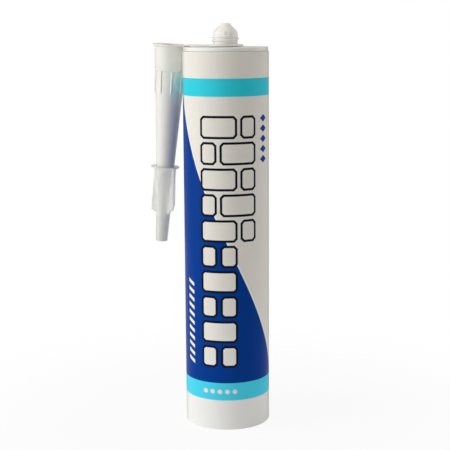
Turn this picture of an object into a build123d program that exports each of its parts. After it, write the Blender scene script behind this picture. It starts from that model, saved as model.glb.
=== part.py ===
from build123d import *

import math
import os

# A 300 ml sealant cartridge that stands on its rear rim. Millimetres, +Z up.
# The origin is the centre of the rear rim and +Z runs along the tube towards the outlet.
# The spare nozzle hangs beside the tube from a moulded strap, mouth up, with its cap on the tip.

# Tube
tube_diameter = 49.5
tube_wall = 1.5
tube_length = 217.5
rim_lead_in = 0.7
rim_edge_round = 0.3

# Head, welded into the front end of the tube
collar_inset = 0.35
collar_height = 2.4
collar_round = 0.5
head_plate = 2.2
plug_depth = 6.5
plug_wall = 1.6
weld_clearance = 0.03

# Outlet nipple on the head
nipple_root_diameter = 13.86
nipple_height = 13.3
nipple_shoulder_drop = 4.5
nipple_shoulder_inset = 0.35
nipple_shoulder_height = 1.2
nipple_tip_diameter = 4.3
nipple_wall = 1.3
nipple_foot_round = 0.6

# Screw thread of the nipple
thread_pitch = 2.1
thread_turns = 1.9
thread_depth = 0.82
thread_foot_width = 1.5
thread_crest_width = 0.45
thread_sink = 0.25
thread_start_gap = 0.12

# Swivel ring round the foot of the nipple, with the strap that carries the nozzle
ring_diameter = 20.2
ring_thickness = 1.15
ring_lift = 0.3
ring_running_clearance = 0.08
strap_width = 6.4
strap_drop_reach = 0.6

# Nozzle: threaded base, grip ribs and long taper, measured from its mouth
nozzle_wall = 1.15
nozzle_thread_clearance = 0.2
nozzle_base_wall = 1.15
nozzle_base_draft = 0.55
nozzle_base_length = 15.4
nozzle_flange_overhang = 1.35
nozzle_flange_thickness = 0.95
nozzle_mouth_chamfer = 0.5
nozzle_thread_zone = 9.5
nozzle_thread_entry = 1.1
nozzle_thread_turns = 2.4
nozzle_step = 0.65
nozzle_rib_zone = 12.5
nozzle_rib_zone_taper = 0.4
nozzle_rib_width = 1.1
nozzle_length = 94.0
nozzle_tip_diameter = 8.04
nozzle_tip_wall = 0.92
grip_ribs = 8
grip_rib_turn = 37.8

# How the nozzle hangs beside the tube
nozzle_gap = 1.2
nozzle_mouth_height = 1.4
nozzle_tilt = 4.3
nozzle_azimuth = -27.4

# Winged cap, pushed over the tip of the nozzle
cap_start = 72.0
cap_flange_diameter = 16.8
cap_flange_thickness = 0.85
cap_flange_round = 0.3
cap_clearance = 0.08
cap_mouth_wall = 1.05
cap_tip_wall = 0.6
cap_length = 45.5
cap_end_diameter = 6.9
cap_end_thickness = 1.1
cap_tip_room = 0.4
wing_count = 4
wing_turn = 72.1
wing_thickness = 1.0
wing_top_diameter = 16.3
wing_foot_diameter = 18.4
wing_length = 25.0
wing_chamfer = 3.6

# Plunger and the sealant in front of it
plunger_recess = 20.0
plunger_clearance = 0.1
plunger_lip_height = 2.2
plunger_lip_step = 0.45
plunger_waist_height = 7.6
plunger_nose_height = 5.6
plunger_nose_clearance = 0.6
plunger_wall = 1.5
plunger_face = 1.6
plunger_hub_diameter = 7.0
plunger_rib_thickness = 1.2
plunger_ribs = 6
plunger_rib_height = 3.0
sealant_clearance = 0.3

# One overrun for every cutting tool
overrun = 1.0

# Sizes that follow from the ones above
tube_radius = tube_diameter / 2
bore_radius = tube_radius - tube_wall
collar_diameter = tube_diameter - 2 * collar_inset
collar_radius = collar_diameter / 2
head_top = tube_length + collar_height
head_inside = head_top - head_plate
plug_radius = bore_radius - weld_clearance
plug_bottom = tube_length - plug_depth
plug_inner_radius = plug_radius - plug_wall

root_radius = nipple_root_diameter / 2
crest_radius = root_radius + thread_depth
nipple_top = head_top + nipple_height
nipple_tip_radius = nipple_tip_diameter / 2
shoulder_height = nipple_top - nipple_shoulder_drop
shoulder_radius = root_radius - nipple_shoulder_inset
channel_radius = root_radius - nipple_wall

ring_bottom = head_top + ring_lift
ring_top = ring_bottom + ring_thickness
ring_radius = ring_diameter / 2
ring_bore_radius = root_radius + ring_running_clearance
thread_start = ring_top + thread_start_gap + thread_foot_width / 2

mouth_radius = crest_radius + nozzle_thread_clearance
base_foot_radius = mouth_radius + nozzle_base_wall
base_mouth_radius = base_foot_radius + nozzle_base_draft
flange_radius = base_mouth_radius + nozzle_flange_overhang
core_top_radius = base_foot_radius - nozzle_step
core_foot_radius = core_top_radius - nozzle_rib_zone_taper
rib_foot = nozzle_base_length + nozzle_rib_zone
tip_radius = nozzle_tip_diameter / 2
nozzle_offset = tube_radius + nozzle_gap + base_mouth_radius
nozzle_top = head_top + nozzle_mouth_height

cap_end = cap_start + cap_length
cap_flange_radius = cap_flange_diameter / 2
cap_end_radius = cap_end_diameter / 2

plunger_radius = bore_radius - plunger_clearance
plunger_waist_radius = plunger_radius - plunger_lip_step
plunger_nose_radius = plug_inner_radius - plunger_nose_clearance
plunger_lip_top = plunger_recess + 2 * plunger_lip_height + plunger_waist_height
plunger_front = plunger_lip_top + plunger_nose_height


def nozzle_radius(distance):
    """Outer radius of the nozzle's long taper at a distance from its mouth."""
    share = (distance - rib_foot) / (nozzle_length - rib_foot)
    return core_foot_radius + (tip_radius - core_foot_radius) * share


def turned(points):
    """A solid of revolution about Z from (radius, height) points."""
    return revolve(Plane.XZ * make_face(Polyline(*points, close=True)), Axis.Z)


def thread_ridge(radius, depth, start, turns, sink):
    """A helical ridge with a trapezoid section on a cylinder: depth is negative where it points inwards."""
    foot = radius - math.copysign(sink, depth)
    crest = radius + depth
    flank = (thread_foot_width - thread_crest_width) / 2
    sunk_half = thread_foot_width / 2 + flank * sink / abs(depth)
    path = Edge.make_helix(thread_pitch, thread_pitch * turns, radius)
    section = make_face(
        Polyline(
            (foot, -sunk_half),
            (crest, -thread_crest_width / 2),
            (crest, thread_crest_width / 2),
            (foot, sunk_half),
            close=True,
        )
    )
    return Pos(0, 0, start) * sweep(Plane.XZ * section, path, is_frenet=True)


def make_tube():
    """The plain extruded tube, with a chamfered lead-in at the rear for the pusher."""
    return turned(
        [
            (bore_radius, rim_lead_in),
            (bore_radius + rim_lead_in, 0),
            (tube_radius - rim_edge_round, 0),
            (tube_radius, rim_edge_round),
            (tube_radius, tube_length),
            (bore_radius, tube_length),
        ]
    )


def make_head():
    """Collar, plug and closed nipple in one moulding, with a coarse helical thread."""
    outside = [
        (0, nipple_top),
        (nipple_tip_radius, nipple_top),
        (shoulder_radius, shoulder_height),
        (root_radius, shoulder_height - nipple_shoulder_height),
        (root_radius, head_top),
        (collar_radius - collar_round, head_top),
        (collar_radius, head_top - collar_round),
        (collar_radius, tube_length),
        (plug_radius, tube_length),
        (plug_radius, plug_bottom),
        (plug_inner_radius, plug_bottom),
        (plug_inner_radius, head_inside),
    ]
    inside = [
        (channel_radius + nipple_foot_round, head_inside),
        (channel_radius, head_inside + nipple_foot_round),
        (channel_radius, shoulder_height - nipple_shoulder_height),
        (shoulder_radius - nipple_wall, shoulder_height),
        (nipple_tip_radius - nipple_wall / 2, nipple_top - nipple_wall),
        (0, nipple_top - nipple_wall),
    ]
    body = turned(outside + inside)
    return body + thread_ridge(root_radius, thread_depth, thread_start, thread_turns, thread_sink)


def make_plunger():
    """A cup-shaped piston: two sealing lips, a stepped nose and low ribs round a hub on its floor."""
    lip_round = plunger_lip_step
    cup = turned(
        [
            (0, plunger_front),
            (plunger_nose_radius - lip_round, plunger_front),
            (plunger_nose_radius, plunger_front - lip_round),
            (plunger_nose_radius, plunger_lip_top),
            (plunger_radius - lip_round, plunger_lip_top),
            (plunger_radius, plunger_lip_top - lip_round),
            (plunger_radius, plunger_lip_top - plunger_lip_height),
            (plunger_waist_radius, plunger_lip_top - plunger_lip_height - lip_round),
            (plunger_waist_radius, plunger_recess + plunger_lip_height + lip_round),
            (plunger_radius, plunger_recess + plunger_lip_height),
            (plunger_radius, plunger_recess + lip_round),
            (plunger_radius - lip_round, plunger_recess),
            (plunger_waist_radius - plunger_wall, plunger_recess),
            (plunger_waist_radius - plunger_wall, plunger_lip_top - plunger_wall),
            (plunger_nose_radius - plunger_wall, plunger_lip_top),
            (plunger_nose_radius - plunger_wall, plunger_front - plunger_face),
            (0, plunger_front - plunger_face),
        ]
    )
    floor = plunger_front - plunger_face
    low = (Align.CENTER, Align.CENTER, Align.MIN)
    hub = Pos(0, 0, floor - plunger_rib_height) * Cylinder(
        plunger_hub_diameter / 2, plunger_rib_height + plunger_face / 2, align=low
    )
    rib = Pos(0, 0, floor - plunger_rib_height) * Box(
        plunger_nose_radius - plunger_wall / 2,
        plunger_rib_thickness,
        plunger_rib_height + plunger_face / 2,
        align=(Align.MIN, Align.CENTER, Align.MIN),
    )
    for copy in range(plunger_ribs):
        cup += Rot(0, 0, 360 / plunger_ribs * copy) * rib
    return cup + hub


def make_sealant():
    """The sealant between the plunger and the head, with the plug of it inside the nipple."""
    side = bore_radius - sealant_clearance
    top = head_inside - sealant_clearance
    step = plug_inner_radius - sealant_clearance
    stem = channel_radius - sealant_clearance
    return turned(
        [
            (0, plunger_front + sealant_clearance),
            (side, plunger_front + sealant_clearance),
            (side, plug_bottom - sealant_clearance),
            (step, plug_bottom - sealant_clearance),
            (step, top),
            (stem, top),
            (stem, shoulder_height - nipple_shoulder_height),
            (0, shoulder_height - nipple_shoulder_height),
        ]
    )


def place_nozzle(shape):
    """Moves a shape from the nozzle's own axis, mouth at zero and tip down, to its place on the strap."""
    hung = Pos(-nozzle_offset, 0, nozzle_top) * Rot(0, nozzle_tilt, 0) * shape
    return Rot(0, 0, nozzle_azimuth) * hung


def nozzle_outside():
    """Flange, threaded base and long taper of the nozzle, still solid."""
    flange_foot = -nozzle_flange_thickness
    return turned(
        [
            (0, 0),
            (flange_radius, 0),
            (flange_radius, flange_foot),
            (base_mouth_radius, flange_foot - nozzle_flange_overhang / 4),
            (base_foot_radius, -nozzle_base_length),
            (core_top_radius, -nozzle_base_length),
            (core_foot_radius, -rib_foot),
            (tip_radius, -nozzle_length),
            (0, -nozzle_length),
        ]
    )


def nozzle_grip_rib():
    """One grip rib under the base, flush with the base above and run out on the taper below."""
    profile = make_face(
        Polyline(
            (core_foot_radius / 2 + tip_radius / 2, -nozzle_base_length + nozzle_step),
            (base_foot_radius, -nozzle_base_length + nozzle_step),
            (base_foot_radius, -nozzle_base_length),
            (base_foot_radius - nozzle_rib_zone_taper, -rib_foot + nozzle_step),
            (core_foot_radius - nozzle_rib_zone_taper, -rib_foot - nozzle_step),
            (core_foot_radius / 2 + tip_radius / 2, -rib_foot - nozzle_step),
            close=True,
        )
    )
    return extrude(Plane.XZ * profile, nozzle_rib_width / 2, both=True)


def nozzle_channel():
    """The space inside the nozzle: chamfered mouth, thread zone and tapered channel."""
    thread_end = -nozzle_thread_zone
    throat_radius = core_top_radius - nozzle_wall
    throat = thread_end - (mouth_radius - throat_radius)
    return turned(
        [
            (0, overrun),
            (mouth_radius + nozzle_mouth_chamfer, overrun),
            (mouth_radius + nozzle_mouth_chamfer, 0),
            (mouth_radius, -nozzle_mouth_chamfer),
            (mouth_radius, thread_end),
            (throat_radius, throat),
            (core_top_radius - nozzle_wall, -nozzle_base_length),
            (tip_radius - nozzle_tip_wall, -nozzle_length),
            (tip_radius - nozzle_tip_wall, -nozzle_length - overrun),
            (0, -nozzle_length - overrun),
        ]
    )


def nozzle_strap():
    """Swivel ring and strap: flat over the head, then down to the tilted flange of the nozzle."""
    low = (Align.CENTER, Align.CENTER, Align.MIN)
    ring = Pos(0, 0, ring_bottom) * Cylinder(ring_radius, ring_thickness, align=low)
    knee = collar_radius + strap_drop_reach
    joint = nozzle_offset - mouth_radius - nozzle_base_wall
    joint_drop = (nozzle_offset - joint) * math.tan(math.radians(nozzle_tilt))
    joint_top = nozzle_top - joint_drop
    side = Polyline(
        (-root_radius, ring_bottom),
        (-root_radius, ring_top),
        (-knee, ring_top),
        (-joint, joint_top),
        (-joint, joint_top - nozzle_flange_thickness),
        (-knee, ring_bottom),
        close=True,
    )
    strap = extrude(Plane.XZ * make_face(side), strap_width / 2, both=True)
    bore = Pos(0, 0, ring_bottom - overrun) * Cylinder(
        ring_bore_radius, ring_thickness + 2 * overrun, align=low
    )
    return Rot(0, 0, nozzle_azimuth) * (ring + strap - bore)


def make_nozzle():
    """Nozzle, strap and swivel ring: one moulding, with the female thread inside its mouth."""
    solid = nozzle_outside()
    for copy in range(grip_ribs):
        solid += Rot(0, 0, grip_rib_turn + 360 / grip_ribs * copy) * nozzle_grip_rib()
    hung = place_nozzle(solid) + nozzle_strap()
    hollow = hung - place_nozzle(nozzle_channel())
    ridge = thread_ridge(
        mouth_radius,
        -thread_depth,
        -nozzle_thread_entry - thread_pitch * nozzle_thread_turns - thread_foot_width / 2,
        nozzle_thread_turns,
        thread_sink,
    )
    return hollow + place_nozzle(ridge)


def cap_wing():
    """One flat wing of the cap, from the flange down to a steep chamfer at its foot."""
    inner = nozzle_radius(cap_end)
    top = -cap_start - cap_flange_thickness / 2
    foot = -cap_start - wing_length
    profile = make_face(
        Polyline(
            (inner, top),
            (wing_top_diameter / 2, top),
            (wing_foot_diameter / 2, foot),
            (cap_end_radius, foot - wing_chamfer),
            (inner, foot - wing_chamfer),
            close=True,
        )
    )
    return extrude(Plane.XZ * profile, wing_thickness / 2, both=True)


def make_cap():
    """Closed cap with a flange at its mouth and flat wings to pull it off by."""
    flange_foot = -cap_start - cap_flange_thickness
    mouth_outer = nozzle_radius(cap_start) + cap_clearance + cap_mouth_wall
    seat_outer = tip_radius + cap_clearance + cap_tip_wall
    outside = turned(
        [
            (0, -cap_start),
            (cap_flange_radius - cap_flange_round, -cap_start),
            (cap_flange_radius, -cap_start - cap_flange_round),
            (cap_flange_radius, flange_foot),
            (mouth_outer + cap_flange_thickness, flange_foot - cap_flange_thickness / 2),
            (mouth_outer, flange_foot - 2 * cap_flange_thickness),
            (seat_outer, -nozzle_length),
            (cap_end_radius, -cap_end),
            (0, -cap_end),
        ]
    )
    for copy in range(wing_count):
        outside += Rot(0, 0, wing_turn + 360 / wing_count * copy) * cap_wing()
    hollow_end = -nozzle_length - cap_tip_room
    inside = turned(
        [
            (0, -cap_start + overrun),
            (nozzle_radius(cap_start - overrun) + cap_clearance, -cap_start + overrun),
            (tip_radius + cap_clearance, -nozzle_length),
            (tip_radius + cap_clearance, hollow_end),
            (tip_radius - cap_tip_wall, hollow_end - cap_tip_room),
            (cap_end_radius - cap_tip_wall, -cap_end + cap_end_thickness),
            (0, -cap_end + cap_end_thickness),
        ]
    )
    return place_nozzle(outside - inside)


def main():
    """Writes one STEP file for each piece."""
    os.makedirs("parts", exist_ok=True)
    pieces = {
        "cartridge_tube": make_tube(),
        "cartridge_head": make_head(),
        "plunger": make_plunger(),
        "sealant": make_sealant(),
        "nozzle": make_nozzle(),
        "nozzle_cap": make_cap(),
    }
    for name, shape in pieces.items():
        export_step(shape, f"parts/{name}.step")


main()
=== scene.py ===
"""A sealant cartridge with its capped spare nozzle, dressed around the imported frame."""

from __future__ import annotations

import cmath
import logging
import math
from collections.abc import Callable, Sequence
from dataclasses import dataclass
from enum import Enum

import bmesh
import bpy
import numpy as np
from mathutils import Matrix, Vector


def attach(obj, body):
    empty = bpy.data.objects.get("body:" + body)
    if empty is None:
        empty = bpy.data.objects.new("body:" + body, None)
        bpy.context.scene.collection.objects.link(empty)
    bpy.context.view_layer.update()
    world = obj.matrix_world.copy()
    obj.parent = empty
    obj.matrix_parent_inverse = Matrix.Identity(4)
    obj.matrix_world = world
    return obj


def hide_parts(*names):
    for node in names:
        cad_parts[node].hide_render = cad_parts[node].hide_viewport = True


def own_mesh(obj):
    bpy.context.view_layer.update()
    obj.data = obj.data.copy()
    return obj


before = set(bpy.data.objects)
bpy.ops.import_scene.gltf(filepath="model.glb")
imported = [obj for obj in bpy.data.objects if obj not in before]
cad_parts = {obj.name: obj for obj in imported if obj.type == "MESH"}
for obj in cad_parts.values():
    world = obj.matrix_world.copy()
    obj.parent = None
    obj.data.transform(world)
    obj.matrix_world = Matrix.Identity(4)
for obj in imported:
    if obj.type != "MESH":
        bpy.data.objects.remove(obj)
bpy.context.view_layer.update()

log = logging.getLogger("cartridge")
MM = 0.001

Triple = tuple[float, float, float]
Colour = tuple[float, float, float, float]
Socket = bpy.types.NodeSocket
Mesh = bpy.types.Mesh
Material = bpy.types.Material


# Shader and geometry maths as Python expressions


class Term:
    """A number that varies over a surface: a node socket that takes part in Python sums."""

    def __init__(self, wiring: Wiring, socket: Socket) -> None:
        """Keeps the socket and the wiring that new Math nodes are added to."""
        self.wiring = wiring
        self.socket = socket

    def made(self, operation: str, *others: Value) -> Term:
        """Adds one Math node.

        Args:
            operation: Blender's name of the operation.
            others: the operation's other values, in order.

        Returns:
            The node's result.
        """
        values = dict(enumerate((self, *others)))
        made = self.wiring.node("ShaderNodeMath", {"operation": operation}, values)
        return Term(self.wiring, made.outputs[0])

    def __add__(self, other: Value) -> Term:
        """Sum."""
        return self.made("ADD", other)

    __radd__ = __add__

    def __sub__(self, other: Value) -> Term:
        """Difference."""
        return self.made("SUBTRACT", other)

    def __rsub__(self, other: float) -> Term:
        """Difference with the number first."""
        return (self * -1.0).made("ADD", other)

    def __mul__(self, other: Value) -> Term:
        """Product."""
        return self.made("MULTIPLY", other)

    __rmul__ = __mul__

    def __truediv__(self, other: Value) -> Term:
        """Quotient."""
        return self.made("DIVIDE", other)

    def __abs__(self) -> Term:
        """Size without the sign."""
        return self.made("ABSOLUTE")

    def root(self) -> Term:
        """Square root."""
        return self.made("SQRT")

    def lower(self, other: Value) -> Term:
        """The lower of two values."""
        return self.made("MINIMUM", other)

    def higher(self, other: Value) -> Term:
        """The higher of two values."""
        return self.made("MAXIMUM", other)

    def whole(self) -> Term:
        """The next whole number down."""
        return self.made("FLOOR")

    def remainder(self, step: float) -> Term:
        """What is left over whole steps, never negative."""
        return self.made("FLOORED_MODULO", step)

    def ramp(self, start: float, end: float) -> Term:
        """A smooth step from 0 at start to 1 at end.

        Args:
            start: the value where the step begins.
            end: the value where it is complete; it may be lower than start.

        Returns:
            The step, from 0 to 1.
        """
        if start > end:
            return 1.0 - self.ramp(end, start)
        values = {"Value": self, "From Min": start, "From Max": end}
        settings = {"interpolation_type": "SMOOTHSTEP"}
        step = self.wiring.node("ShaderNodeMapRange", settings, values)
        return Term(self.wiring, step.outputs["Result"])


Value = Term | float


def emptied(owner: Material | bpy.types.World) -> bpy.types.NodeTree:
    """Empties a node tree.

    Args:
        owner: the material or world that has it.

    Returns:
        The tree.
    """
    owner.use_nodes = True
    owner.node_tree.nodes.clear()
    return owner.node_tree


class Wiring:
    """A node tree, and the one method that adds nodes to it."""

    def __init__(self, tree: bpy.types.NodeTree) -> None:
        """Keeps the tree that nodes go into."""
        self.tree = tree

    def node(
        self, kind: str, settings: dict | None = None, values: dict | None = None
    ) -> bpy.types.Node:
        """Adds a node of any type.

        Args:
            kind: Blender's type name.
            settings: attributes, set before any value.
            values: socket name or number to a Term, a socket or a constant.

        Returns:
            The new node.
        """
        made = self.tree.nodes.new(kind)
        for name, value in (settings or {}).items():
            setattr(made, name, value)
        for name, value in (values or {}).items():
            if isinstance(value, Term):
                value = value.socket
            if isinstance(value, Socket):
                self.tree.links.new(value, made.inputs[name])
            else:
                made.inputs[name].default_value = value
        return made

    def blend(self, share: Value, under: Colour | Socket, over: Colour | Socket) -> Socket:
        """Mixes two colours by how much of the second one shows, from 0 to 1."""
        values = {0: share, 6: under, 7: over}
        return self.node("ShaderNodeMix", {"data_type": "RGBA"}, values).outputs[2]

    def scaled(self, vector: Socket, factor: Value) -> Socket:
        """A vector or colour times a number."""
        values = {0: vector, "Scale": factor}
        return self.node("ShaderNodeVectorMath", {"operation": "SCALE"}, values).outputs[0]

    def split(self, vector: Socket) -> list[Term]:
        """The three parts of a vector."""
        parts = self.node("ShaderNodeSeparateXYZ", None, {0: vector})
        return [Term(self, output) for output in parts.outputs]

    def millimetres(self) -> list[Term]:
        """The place on the piece, in the row frame, as three numbers in millimetres."""
        place = self.node("ShaderNodeTexCoord").outputs["Object"]
        return self.split(self.scaled(place, 1 / MM))

    def vector(self, x: Value, y: Value, z: Value) -> Socket:
        """Joins three numbers into a vector."""
        return self.node("ShaderNodeCombineXYZ", None, {0: x, 1: y, 2: z}).outputs[0]

    def noise(self, place: Socket, scale: float, detail: float = 3.0) -> Term:
        """Soft noise from 0 to 1 at a place, with about one lump in 1 / scale."""
        values = {"Vector": place, "Scale": scale, "Detail": detail}
        return Term(self, self.node("ShaderNodeTexNoise", None, values).outputs["Fac"])

    def bump(self, strength: float, depth: float, height: Term) -> Socket:
        """A normal disturbed by a height that is worth a depth in millimetres."""
        values = {"Strength": strength, "Distance": depth * MM, "Height": height}
        return self.node("ShaderNodeBump", None, values).outputs[0]

    def slant(self, start: float, end: float) -> Term:
        """How far a surface turns away from the eye, stepped between two limits."""
        weight = self.node("ShaderNodeLayerWeight", None, {"Blend": 0.5})
        return Term(self, weight.outputs["Facing"]).ramp(start, end)

    def rays(self) -> list[Term]:
        """Tells the kinds of ray apart.

        Returns:
            Whether it is from the camera, from a glossy surface or through a clear one.
        """
        path = self.node("ShaderNodeLightPath")
        kinds = ("Camera", "Glossy", "Transmission")
        return [Term(self, path.outputs[f"Is {kind} Ray"]) for kind in kinds]

    def mixed(self, share: Term, under: bpy.types.Node, over: bpy.types.Node) -> bpy.types.Node:
        """Mixes the first outputs of two shader nodes."""
        values = {0: share, 1: under.outputs[0], 2: over.outputs[0]}
        return self.node("ShaderNodeMixShader", None, values)

    def close(self, kind: str, last: bpy.types.Node) -> None:
        """Ends the tree in its output, after the last shader node."""
        self.node(f"ShaderNodeOutput{kind}", None, {"Surface": last.outputs[0]})


# Finishes


class Paint(Wiring):
    """The node tree of a new material."""

    def __init__(self, name: str) -> None:
        """Starts the material."""
        self.material = bpy.data.materials.new(name)
        super().__init__(emptied(self.material))

    def dressed(self, values: dict, **settings: object) -> Material:
        """Ends it in a Principled shader with these values and settings."""
        self.close("Material", self.node("ShaderNodeBsdfPrincipled", settings, values))
        return self.material


class Scatter(Enum):
    """How light spreads inside a plastic."""

    WALL = "RANDOM_WALK"
    THROUGH = "BURLEY"


@dataclass(frozen=True)
class MouldedPlastic:
    """Milky moulded polyethylene: light goes a little way in, and the skin has fine flow marks.

    Where it turns away from the eye, its colour is painted toward its shade colour times edge: a
    painted edge shade. Its depth is in millimetres.
    """

    name: str
    colour: Colour
    shade: Colour
    roughness: float = 0.38
    depth: float = 0.9
    reach: Triple = (1.0, 0.96, 0.9)
    scatter: float = 0.6
    specular: float = 0.35
    flow: Triple = (1.0, 1.0, 0.12)
    # how deep the painted edge shade goes, as a share of the shade colour
    edge: float = 0.72
    spread: Scatter = Scatter.WALL

    def build(self) -> Material:
        """Makes the material.

        Returns:
            The material.
        """
        paint = Paint(self.name)
        place = paint.millimetres()
        along = paint.vector(*(part * share for part, share in zip(place, self.flow)))
        even = paint.vector(*place)
        flow, cloud = paint.noise(along, 0.9), paint.noise(even, 0.12, 2.0)
        grain = paint.noise(even, 2.6, 4.0)
        tone = flow.ramp(0.35, 0.75) * 0.35 + cloud.ramp(0.3, 0.8) * 0.4
        colour = paint.blend(tone, self.colour, self.shade)
        # painted shade: the colour goes toward this where the surface turns away from the eye
        painted_slant_shade = tuple(part * self.edge for part in self.shade[:3]) + (1.0,)
        return paint.dressed(
            {
                "Base Color": paint.blend(paint.slant(0.45, 0.95), colour, painted_slant_shade),
                "Roughness": self.roughness + (grain - 0.5) * 0.12 + (flow - 0.5) * 0.08,
                "Subsurface Weight": self.scatter,
                "Subsurface Radius": tuple(self.depth * MM * share for share in self.reach),
                "Subsurface Scale": 1.0,
                "Specular IOR Level": self.specular,
                "Normal": paint.bump(0.35, 0.02, flow * 0.7 + grain * 0.5),
            },
            subsurface_method=self.spread.value,
        )


@dataclass(frozen=True)
class SealantPaste:
    """Smooth white paste with soft trapped streaks."""

    colour: Colour = (0.86, 0.86, 0.84, 1.0)
    shade: Colour = (0.74, 0.75, 0.73, 1.0)
    depths: Triple = (2 * MM, 2 * MM, 1.8 * MM)

    def build(self) -> Material:
        """Makes the material.

        Returns:
            The material.
        """
        paint = Paint("silicone_paste")
        x, y, z = paint.millimetres()
        streak = paint.noise(paint.vector(x, y, z * 0.25), 0.35, 4.0)
        fine = paint.noise(paint.vector(x, y, z), 1.4, 3.0)
        return paint.dressed(
            {
                "Base Color": paint.blend(streak.ramp(0.3, 0.8), self.colour, self.shade),
                "Roughness": 0.32 + fine * 0.16,
                "Subsurface Weight": 0.4,
                "Subsurface Radius": self.depths,
                "Subsurface Scale": 1.0,
                "Normal": paint.bump(0.5, 0.15, streak + fine * 0.3),
            }
        )


@dataclass(frozen=True)
class Row:
    """Like marks at even steps along a line, in millimetres."""

    middle: float
    pitch: float
    count: int

    def near(self, place: Term) -> Term:
        """The place measured from the middle of the nearest mark."""
        low = self.middle - self.pitch * self.count / 2
        return (place - low).remainder(self.pitch) - self.pitch / 2

    def past(self, place: Term) -> Term:
        """The distance past the row's ends."""
        return abs(place - self.middle) - self.pitch * self.count / 2


@dataclass(frozen=True)
class PrintedPlastic:
    """White plastic under its print: two bands, a swept field and a column of plain tiles.

    Sizes are in millimetres on the tube's outside: along is round the tube from the front line,
    to the right of it, and height is from the rear rim.
    """

    radius: float = 24.75
    skin: tuple[float, float] = (0.6, 0.4)
    white: Colour = (0.86, 0.845, 0.79, 1.0)
    cream: Colour = (0.83, 0.81, 0.745, 1.0)
    # painted floor bounce: a lighter, less yellow white that the plastic turns to toward the rear
    # rim
    painted_floor_light: Colour = (0.88, 0.885, 0.865, 1.0)
    painted_floor_light_reach: float = 90.0
    cyan: Colour = (0.035, 0.66, 0.80, 1.0)
    pale_cyan: Colour = (0.075, 0.69, 0.90, 1.0)
    blue: Colour = (0.0008, 0.045, 0.29, 1.0)
    keyline: Colour = (0.90, 0.92, 0.94, 1.0)
    keyline_rise: float = 2.3
    ink: Colour = (0.006, 0.008, 0.015, 1.0)
    lower_band: tuple[float, float] = (17.7, 28.1)
    upper_band: tuple[float, float] = (192.9, 202.9)
    sweep_centre: float = -40.75
    sweep_height: float = 212.95
    sweep_terms: Triple = (-3.102, 0.0190, -0.000122)
    tile_left: float = -16.4
    tile_top: float = 183.2
    tile_unit: float = 11.75
    tile_pitch: float = 14.67
    tile_rows: int = 10
    wide_rows: float = 5.0
    tile_gap: float = 1.7
    tile_chamfer: float = 1.9
    line: float = 1.35
    diamond_row: Row = Row(168.7, 5.8, 5)
    diamond_place: float = 24.9
    diamond_half: float = 2.2
    diamond_squeeze: float = 0.7
    slant_row: Row = Row(62.9, 4.6, 11)
    slant_place: float = -24.2
    slant_lean: float = 0.45
    slant_half: tuple[float, float] = (2.6, 1.05)
    dot_row: Row = Row(-4.6, 4.4, 5)
    dot_radius: float = 1.35
    soft: float = 0.07
    specular: float = 0.035
    # painted shade: the share by which the colour dims where the tube turns away from the eye
    painted_edge_shade: float = 0.28

    def inside(self, distance: Term) -> Term:
        """How much of a shape shows at a distance outside it, with a soft edge."""
        return distance.ramp(self.soft, -self.soft)

    def chamfered(self, across: Term, up: Term, half_across: Value, half_up: float) -> Term:
        """Distance outside a rectangle with cut corners.

        Args:
            across: place from its centre, one way.
            up: place from its centre, the other way.
            half_across: half its size the one way.
            half_up: half its size the other way.

        Returns:
            The distance, negative inside.
        """
        over = abs(across) - half_across
        above = abs(up) - half_up
        corner = (over + above + self.tile_chamfer) * math.sqrt(0.5)
        return over.higher(above).higher(corner)

    def tiles(self, along: Term, height: Term) -> Term:
        """Distance outside the nearest tile of a column laid in running bond.

        Args:
            along: place round the tube.
            height: place up the tube.

        Returns:
            The distance, negative inside a tile.
        """
        half, half_gap = self.tile_unit / 2, self.tile_gap / 2
        across = along - self.tile_left
        down = self.tile_top - height
        row = (down / self.tile_pitch).whole()
        up = down - (row + 0.5) * self.tile_pitch
        joint = 2.0 - row.remainder(2.0)
        width = 3.0 - row.made("GREATER_THAN", self.wide_rows - 0.5)
        half_up = (self.tile_pitch - self.tile_gap) / 2
        left = self.chamfered(across - joint * half, up, joint * half - half_gap, half_up)
        right = self.chamfered(
            across - (joint + width) * half, up, (width - joint) * half - half_gap, half_up
        )
        ends = (down * -1.0).higher(down - self.tile_pitch * self.tile_rows)
        return left.lower(right).higher(ends)

    def field(self, along: Term, height: Term, lift: float = 0.0) -> Term:
        """How much of the blue field shows, which climbs to a peak at the left.

        Args:
            along: place round the tube.
            height: place up the tube.
            lift: how much higher its edge is set.

        Returns:
            The share, from 0 to 1.
        """
        half_turn = math.pi * self.radius
        away = abs((along - self.sweep_centre).made("WRAP", half_turn, -half_turn))
        slope, bend, curl = self.sweep_terms
        edge = ((away * curl + bend) * away + slope) * away + (self.sweep_height + lift)
        under = (height - edge).ramp(self.soft * 2, -self.soft * 2)
        middle = sum(self.upper_band + self.lower_band) / 4
        reach = (self.upper_band[0] - self.lower_band[1]) / 2
        return under * self.inside(abs(height - middle) - reach)

    def band(self, height: Term, limits: tuple[float, float]) -> Term:
        """How much of a band shows, from 0 to 1."""
        half = (limits[1] - limits[0]) / 2
        return self.inside(abs(height - sum(limits) / 2) - half)

    def diamonds(self, along: Term, height: Term) -> Term:
        """How much of a short column of small diamonds shows, beside the tiles.

        Args:
            along: place round the tube.
            height: place up the tube.

        Returns:
            The share, from 0 to 1.
        """
        across = abs(along - self.diamond_place) * self.diamond_squeeze
        shape = across + abs(self.diamond_row.near(height)) - self.diamond_half
        return self.inside(shape.higher(self.diamond_row.past(height)))

    def slants(self, along: Term, height: Term) -> Term:
        """How much of a column of small slanting bars shows, on the blue field.

        Args:
            along: place round the tube.
            height: place up the tube.

        Returns:
            The share, from 0 to 1.
        """
        across = along - self.slant_place
        near = self.slant_row.near(height + across * self.slant_lean)
        wide, tall = self.slant_half
        shape = (abs(across) - wide).higher(abs(near) - tall)
        return self.inside(shape.higher(self.slant_row.past(height)))

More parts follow.
